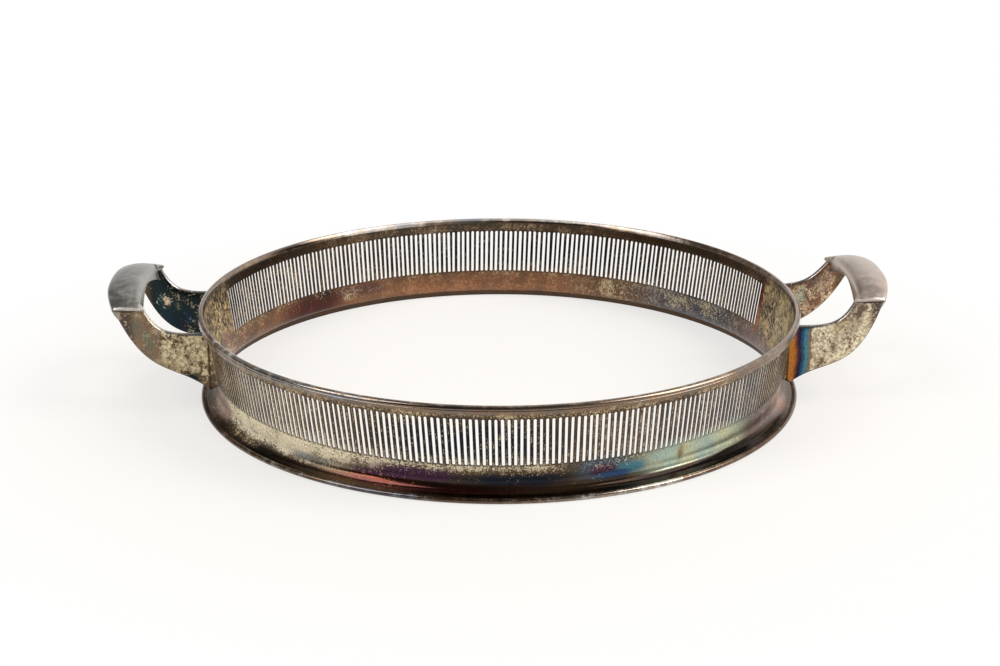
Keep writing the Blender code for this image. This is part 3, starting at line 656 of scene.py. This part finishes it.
castings = {
    # inner control points of both edges; base state; states that take over some mm from the casting's end,
    # with their blur; stains by that distance and share of the height; where flecks begin; start of the solder
    "right_front": {
        "lower": ((130.0, 23.0), (144.2, 6.9)),
        "base": "orange", "bands": (  # heat colours
            ("rust", 1.2, 0.5), ("plum", 2.0, 0.5), ("navy", 2.9, 0.5), ("cobalt", 3.7, 0.5), ("teal", 5.0, 0.5),
            ("fawn", 6.8, 0.5), ("frost", 8.0, 0.5), ("ash", 32, 3.0)),
        "patchList": (
            ("ash", 26, 6, 0.75, 0.4, 0.6), ("crust", 12, 2.5, 0.12, 0.2, 0.5), ("crust", 19, 3, 0.9, 0.2, 0.6),
            ("fawn", 17, 2, 0.45, 0.2, 0.4)),
        "flecksFrom": (6.6, 8.6), "solderBack": 1.3,
    },
    "right_back": {
        "lower": ((130.0, 20.5), (139.8, 12.3)), "upper": ((132.6, 32.7), (135.6, 34.6)),
        "base": "bisque", "bands": (("umber", 29, 3.0),),
        "patchList": (
            ("mint", 14.4, 2.4, 0.63, 0.2, 0.75), ("sugar", 14.4, 2.4, 0.63, 0.2, 0.35),
            ("mauve", 20, 2.5, 0.85, 0.2, 0.7), ("copper", 20, 4, 0.25, 0.25, 0.3), ("pink", 24, 3, 0.4, 0.3, 0.3),
            ("mauve", 25, 3.5, 0.7, 0.3, 0.35), ("umber", 12, 20, 0.98, 0.1, 0.6)),
    },
    "left_front": {
        "lower": ((130.0, 23.9), (142.1, 9.9)),
        "base": "crumb", "bands": (("fawn", 19, 3.0), ("ash", 29, 3.0)),
        "patchList": (
            ("sage", 23.7, 2.2, 0.48, 0.2, 0.9), ("sage", 28.3, 1.8, 0.5, 0.2, 0.6),
            ("rust", 24.1, 1.8, 0.76, 0.1, 0.6), ("crust", 31, 1.5, 0.6, 0.4, 0.6),
            ("crust", 11, 3, 0.9, 0.25, 0.5), ("crust", 14, 3, 0.15, 0.25, 0.5), ("fawn", 8, 2, 0.5, 0.2, 0.35),
            ("navy", 7, 4, 0.06, 0.12, 0.95), ("rust", 0.5, 1.5, 0.05, 0.1, 0.6)),
    },
    "left_back": {
        "lower": ((130.0, 21.6), (142.1, 3.4)),
        "base": "pine", "bands": (("umber", 30, 3.0),),
        "patchList": (
            ("teal", 24, 7, 0.25, 0.45, 0.4), ("bisque", 23.5, 1.3, 0.5, 0.1, 0.9),
            ("cobalt", 14.9, 2.6, 0.42, 0.22, 0.5), ("sage", 18.9, 1.8, 0.6, 0.16, 0.5),
            ("gilt", 25, 1.5, 0.9, 0.15, 0.7), ("copper", 30, 3, 0.7, 0.4, 0.3), ("plum", 17, 2, 0.2, 0.2, 0.5)),
    },
}
castings = {key: {**arm, **own} for key, own in castings.items()}


def armEdge(level, key, t):
    # the cubic with four control points, along the lower or the upper edge
    first, last, second, third = np.array(castings[key][level + "Ends"] + castings[key][level])
    t = t[..., None]
    return first * (1 - t) ** 3 + second * 3 * t * (1 - t) ** 2 + third * 3 * t * t * (1 - t) + last * t ** 3


def oblongRing():
    # once round a rounded oblong: place up its faces from -1 to 1, rise into the round edges, side from 1 to -1
    face = np.linspace(-1, 1, arm["faceRows"])
    turn = np.linspace(0, math.pi, arm["edgeRows"] + 2)[1:-1]
    place = np.concatenate([face, np.ones(len(turn)), -face, -np.ones(len(turn))])
    rise = np.concatenate([0 * face, np.sin(turn), 0 * face, -np.sin(turn)])
    out = np.concatenate([0 * face + 1, np.cos(turn), 0 * face - 1, -np.cos(turn)])
    return place, rise, out


def armSection(key, t, place, rise, out):
    # a rounded oblong between the lower and upper edges, crowned across and flared where the solder meets the wall;
    # behind the casting's end the lower edge is the solder's straight climb
    low, high = armEdge("lower", key, t), armEdge("upper", key, t)
    root = armEdge("lower", key, np.linspace(0, arm["rootShare"], arm["rootTrials"]))
    climb = np.interp(arm["solderX"], root[:, 0], root[:, 1]) + arm["solderRise"] * (arm["solderX"] - low[..., 0])
    low[..., 1] = np.where(low[..., 0] < arm["solderX"], climb, low[..., 1])
    edge = 2 * arm["edge"] / np.linalg.norm(high - low, axis=-1)
    across = place * (1 - edge) + rise * edge
    share = 0.5 + across / 2
    point = low + (high - low) * share[..., None]
    beyond = np.clip(point[..., 0] - arm["flareFrom"], 0, None) / arm["flareLong"]
    half = arm["thick"] / 2 + arm["flare"] * np.clip(1 - beyond, 0, 1) ** 2 - arm["crown"] * across ** 2
    return point[..., 0], out * half, point[..., 1], share, np.broadcast_to(out, t.shape)


def armSurface(key):
    # an arm as it stands at the front, a back one being its mirror image: each line of the loft starts where it
    # leaves the gallery's wall
    ring = oblongRing()
    t = np.linspace(0, 1, arm["trials"])[:, None] + 0 * ring[0]
    x, y, z, share, out = armSection(key, t, *ring)
    clear = np.hypot(x, y - arm["spread"]) - wallRadius(z) - gallery["sheet"] / 2 + arm["sunk"]
    start = t[np.argmax(clear > 0, axis=0), 0]
    t = start + (1 - start) * np.linspace(0, 1, arm["stations"])[:, None] ** arm["crowding"]
    return armSection(key, t, *ring)


def armFields(key, x, share, out):
    # bands by distance from the casting's end and patches over them, then dark solder, a dark line along the
    # lower edge painted as shade, and an upper edge rubbed bright between two dark lines painted as shade
    casting = castings[key]
    root = x - casting["solderX"]
    fields = stateField(len(root), casting["base"])
    wander = sum(size * np.sin(waves * share + phase) for size, waves, phase in casting["wander"])
    for state, start, blur in casting["bands"]:
        fade(fields, (state, 1.0, start - blur, start + blur), root + wander)
    paintPatches(fields, casting["patchList"], root, share, turns=False)
    fields["share"] *= smoothRise(root, *casting["flecksFrom"])
    solder = root + casting["solderBack"]
    fade(fields, casting["crust"], solder)
    # the joint is a dark line of its own; the line along the lower edge is painted shade
    strength, middle, half = casting["joint"]
    lowStrength, *lowSpan = casting["lowLine"]
    spread(fields, "sootAndShade", strength * plateau(solder - middle, half) + lowStrength * smoothRise(share, *lowSpan))
    fade(fields, casting["rubbed"], share)
    # painted shade either side of the rubbed upper edge
    sideStrength, *sideSpan = casting["shadedSides"]
    rubbed = smoothRise(share, *casting["rubbed"][2:])
    spread(fields, "sootAndShade", sideStrength * rubbed * smoothRise(np.abs(out), *sideSpan))
    return fields


# plate on rough castings: coarse pale grains on a dark ground, pits, and heat colours at the solder
armFinish = tarnishedPlate("silver_plate_cast_pitted", arm["finish"])
for sideName, flip in (("right", 1), ("left", -1)):
    for endName, sign in (("front", 1), ("back", -1)):
        key = f"{sideName}_{endName}"
        x, y, z, share, out = armSurface(key)
        points = np.stack([flip * x, sign * (y - arm["spread"]), z], -1).reshape(-1, 3)
        quads, caps = tubeFaces(*x.shape, flip * sign < 0)
        fields = armFields(key, x.ravel(), share.ravel(), out.ravel())
        piece = makePiece(f"{key}_arm_plate", points, quads, fields, armFinish, caps)
        settle(piece, f"{sideName}_arm_{endName}")
print("arms")

grip = {
    "halfLong": 29.58, "bodyHalf": 25.4, "step": 0.02,  # the lips run on from the body past a hair's step
    "edgeEnd": 44.7, "arch": 3.4, "archPower": 3, "crown": 1.78, "crownEnd": 0.6, "thick": 2.6,
    "endDrop": 0.35, "endLong": 0.6,  # rounding of the lips' ends
    "inner": 142.78, "bodyIn": 145.1, "bowIn": 0.7, "outer": 155.46, "bowOut": 5.0, "bowPower": 2.5,
    "round": 0.9, "roundIn": 2.0, "lipRound": 0.45, "flare": 0.9, "tuckOut": 4.6, "lipTuck": 0.25,
    "lipLow": 43.45, "lipLift": 0.3, "haunchLow": 39.5, "shoulder": 2.5, "vaultPower": 1.5,
    "stations": 64, "lipStations": 9, "topRows": 25, "sideRows": 9, "lowRows": 8,
    "sides": {  # the line lies along the inner side's lower edge and is a painted reflection, dark on the right grip and pale on the left; the right grip's base is paler and pinker, partly its own tone and partly painted light
        "right": {"flip": 1, "base": "blushAndSheen", "line": "umber", "lineFade": 0.6},
        "left": {"flip": -1, "base": "satin", "line": "blushAndSheen", "lineFade": 2.0},
    },
    "lineStrength": 0.8, "endSpan": (28.8, 29.5),
    # a painted highlight along the top of each lip's end with painted shadow under it, and a painted pale band on
    # the step into the lip
    "lipTop": ("brightAndHighlight", 0.6, 44.35, 44.5), "lipUnder": ("sootAndShade", 0.9, 44.2, 43.8),
    "throat": ("paintedSheen", 0.55, 43.0, 43.4), "throatAlong": (25.3, 25.41), "throatIn": (145.6, 145.0),
    "finish": {
        "cloudMm": 12, "mottleMm": 5, "fine": 0.3, "depth": 0.1, "bump": 0.05, "soft": 0.5,
        "satin": 0.14, "tint": 0.35},
}


def gripSurface():
    # sections along the bar: crowned top with eased edges, sides that draw in, underside arched between the arms;
    # beyond the body its section goes over to the thin lip. also gives how far down the inner side each point lies
    g = grip
    body = np.linspace(-1, 1, g["stations"]) * g["bodyHalf"]
    lip = np.linspace(g["bodyHalf"] + g["step"], g["halfLong"], g["lipStations"])
    y = np.concatenate([-lip[::-1], body, lip])[:, None]
    along = np.abs(y) / g["halfLong"]
    inBody = np.abs(y) <= g["bodyHalf"]
    swell = 1 - along ** g["archPower"]
    endRound = g["endDrop"] * smoothRise(np.abs(y), g["halfLong"] - g["endLong"], g["halfLong"])
    bow = g["bowIn"] * np.clip(1 - (y / g["bodyHalf"]) ** 2, 0, 1)
    jut = (g["bodyIn"] - g["inner"]) * smoothRise(np.abs(y), g["bodyHalf"], g["halfLong"])
    inner = g["bodyIn"] + bow - jut
    outer = g["outer"] + g["bowOut"] * (1 - along ** g["bowPower"])
    edge = g["edgeEnd"] + g["arch"] * swell - endRound
    crown = g["crownEnd"] + (g["crown"] - g["crownEnd"]) * swell
    vault = 1 - (np.abs(y) / g["bodyHalf"]) ** g["vaultPower"]
    middleLow = g["edgeEnd"] + g["arch"] - g["thick"]
    arched = g["haunchLow"] + (middleLow - g["haunchLow"]) * vault
    under = np.where(inBody, arched, g["lipLow"] + g["lipLift"] * endRound)
    tuckOut = np.where(inBody, g["tuckOut"], g["lipTuck"])
    roundIn = np.where(inBody, g["roundIn"], g["lipRound"])
    shoulder = np.where(inBody, g["shoulder"] * (1 - vault) ** 2, 0)

    across = np.sin(np.linspace(-math.pi / 2, math.pi / 2, g["topRows"]))  # rows crowd towards both edges
    half = (outer - inner) / 2
    ease = np.where(across < 0, roundIn, g["round"])
    intoEdge = np.clip((np.abs(across) * half - (half - ease)) / ease, 0, 1)
    topX = (inner + outer) / 2 + half * across
    topZ = edge + crown * (1 - across ** 2) - ease * (1 - np.sqrt(1 - intoEdge ** 2))
    down = np.linspace(0, 1, g["sideRows"])[1:]
    outTop, inTop = edge - g["round"], edge - roundIn
    outZ = outTop + (under - shoulder - outTop) * down
    inZ = inTop + (under - inTop) * down
    outX = outer - tuckOut * down ** 2
    inX = inner + np.where(inBody, -g["flare"] * (1 - vault), g["lipTuck"]) * down
    flat = np.linspace(0, 1, g["lowRows"])[1:-1]
    lowX = outX[:, -1:] + (inX[:, -1:] - outX[:, -1:]) * flat
    lowZ = under - shoulder * (1 - flat) ** 2
    x = np.concatenate([topX, outX, lowX, inX[:, ::-1]], 1)
    z = np.concatenate([topZ, outZ, lowZ, inZ[:, ::-1]], 1)
    flank = np.concatenate([0 * across, 0 * down, 0 * flat, down[::-1]])
    return x, y + 0 * x, z, flank + 0 * x


# plate on castings, worn by hands: a soft satin sheen with faint clouds
gripFinish = tarnishedPlate("silver_plate_cast_satin", grip["finish"])
gripShape = gripSurface()
x, y, z, flank = (values.ravel() for values in gripShape)
ends = smoothRise(np.abs(y), *grip["endSpan"])
throat = smoothRise(np.abs(y), *grip["throatAlong"]) * smoothRise(x, *grip["throatIn"])
for sideName, side in grip["sides"].items():
    points = np.stack([side["flip"] * x, y, z], -1)
    quads, caps = tubeFaces(*gripShape[0].shape, side["flip"] < 0)
    fields = stateField(len(points), side["base"])
    # painted highlight and shadow at the lips' ends, painted reflection along the inner side, painted pale band on
    # the step
    fade(fields, grip["lipTop"], z, ends)
    fade(fields, grip["lipUnder"], z, ends)
    spread(fields, side["line"], grip["lineStrength"] * flank ** side["lineFade"] * (1 - ends))
    fade(fields, grip["throat"], z, throat)
    piece = makePiece(f"{sideName}_grip_saddle", points, quads, fields, gripFinish, caps)
    settle(piece, f"{sideName}_grip")
print("grips")


stage = {
    "paper": "#f8f0e2", "paperRough": 0.95, "paperShine": 0.1, "reach": 8.0,
    "lit": 0.64, "near": 0.14, "far": 0.27,  # share of plain white at the object, where it starts to rise and is all
    "sweep": 1.0, "sweepSpan": (0.55, 0.22), "tilt": 0.6,  # where the sweep starts and is full, its tip to the right
    "sides": 0.35, "sideSpan": (-0.2, 0.4), "room": 0.05, "haze": 0.22, "hazeSpan": (-0.1, 0.5),
    "leftHaze": 0.8, "rightHaze": 1.8, "crossSpan": (-0.3, 0.4),
}
# matt white paper: no gloss, and a soft shadow
paper = bpy.data.materials.new("white_paper_sweep")
paper.use_nodes = True
tree = paper.node_tree
paperShader = tree.nodes["Principled BSDF"]
paperShader.inputs["Base Color"].default_value = hexColour(stage["paper"])
paperShader.inputs["Roughness"].default_value = stage["paperRough"]
paperShader.inputs["Specular IOR Level"].default_value = stage["paperShine"]

# away from the object the paper is seen as plain white, also in metal and through glass; near it, it keeps
# part of its shadow
rays = addNode(tree, "LightPath").node.outputs
seen = addNode(tree, "Math", {0: rays["Is Camera Ray"], 1: rays["Is Glossy Ray"]}, operation="MAXIMUM")
seen = addNode(tree, "Math", {0: seen, 1: rays["Is Transmission Ray"]}, operation="MAXIMUM")
away = addNode(tree, "VectorMath", {0: addNode(tree, "TexCoord", out="Object")}, "Value", operation="LENGTH")
white = addNode(tree, "MapRange", {0: away, 1: stage["near"], 2: stage["far"], 3: stage["lit"], 4: 1.0},
                interpolation_type="SMOOTHSTEP")
share = addNode(tree, "Math", {0: white, 1: seen}, operation="MULTIPLY")
glow = addNode(tree, "Emission", {"Color": hexColour("#ffffff"), "Strength": 1.0})
blend = addNode(tree, "MixShader", {0: share, 1: paperShader.outputs[0], 2: glow})
tree.links.new(blend, tree.nodes["Material Output"].inputs["Surface"])
floorMesh = bpy.data.meshes.new("floor")
far = stage["reach"]
floorMesh.from_pydata([(-far, -far, 0), (far, -far, 0), (far, far, 0), (-far, far, 0)], [], [(0, 1, 2, 3)])
floorMesh.materials.append(paper)
floor = addObject("floor", floorMesh)

# a dark room, and behind the object a white sweep that climbs to the right and dims on its way up
world = bpy.data.worlds.new("studio")
bpy.context.scene.world = world
world.use_nodes = True
tree = world.node_tree
toward = addNode(tree, "SeparateXYZ", {0: addNode(tree, "TexCoord", out="Generated")}).node.outputs
height = addNode(tree, "Math", {0: toward["X"], 1: -stage["tilt"], 2: toward["Z"]}, operation="MULTIPLY_ADD")
ramps = (  # what rises, over what span, from and to what
    (height, "sweepSpan", 0.0, 1.0), (toward["Y"], "sideSpan", stage["sides"], 1.0),
    (toward["Y"], "hazeSpan", stage["room"], stage["haze"]),
    (toward["X"], "crossSpan", stage["leftHaze"], stage["rightHaze"]))
climb, behind, haze, cross = (
    addNode(tree, "MapRange", {0: value, 1: stage[span][0], 2: stage[span][1], 3: low, 4: high},
            interpolation_type="SMOOTHSTEP")
    for value, span, low, high in ramps)
sweep = addNode(tree, "Math", {0: climb, 1: behind}, operation="MULTIPLY")
dim = addNode(tree, "Math", {0: haze, 1: cross}, operation="MULTIPLY")
level = addNode(tree, "Mix", {0: sweep, 2: dim, 3: stage["sweep"]})
background = tree.nodes["Background"]
background.inputs["Color"].default_value = hexColour("#ffffff")
tree.links.new(level, background.inputs["Strength"])

lamps = [  # name, place in m, width and height in m, power in W
    ("softbox_right", (1.23, -0.28, 1.14), (0.9, 1.2), 22),
    ("softbox_left", (-1.15, -0.53, 1.14), (0.9, 1.2), 17),
]
for name, place, size, power in lamps:
    lamp = bpy.data.lights.new(name, "AREA")
    lamp.shape = "RECTANGLE"
    lamp.size, lamp.size_y = size
    lamp.energy = power
    holder = addObject(name, lamp)
    holder.location = place
    holder.rotation_euler = (-holder.location).to_track_quat("-Z", "Y").to_euler()  # faces the object

camera = {
    "lens": 65.78, "sensor": 36, "shift": 0.001,
    "place": (-0.0292, -0.7260, 0.2753), "tip": 70.79, "turn": -2.3,  # metres and degrees
}
lens = bpy.data.cameras.new("camera")
lens.lens = camera["lens"]
lens.sensor_width = camera["sensor"]
lens.shift_x = camera["shift"]
eye = addObject("camera", lens)
eye.location = camera["place"]
eye.rotation_euler = (math.radians(camera["tip"]), 0, math.radians(camera["turn"]))
bpy.context.scene.camera = eye
bpy.context.scene.view_settings.view_transform = "Standard"
print("stage, lamps and camera")
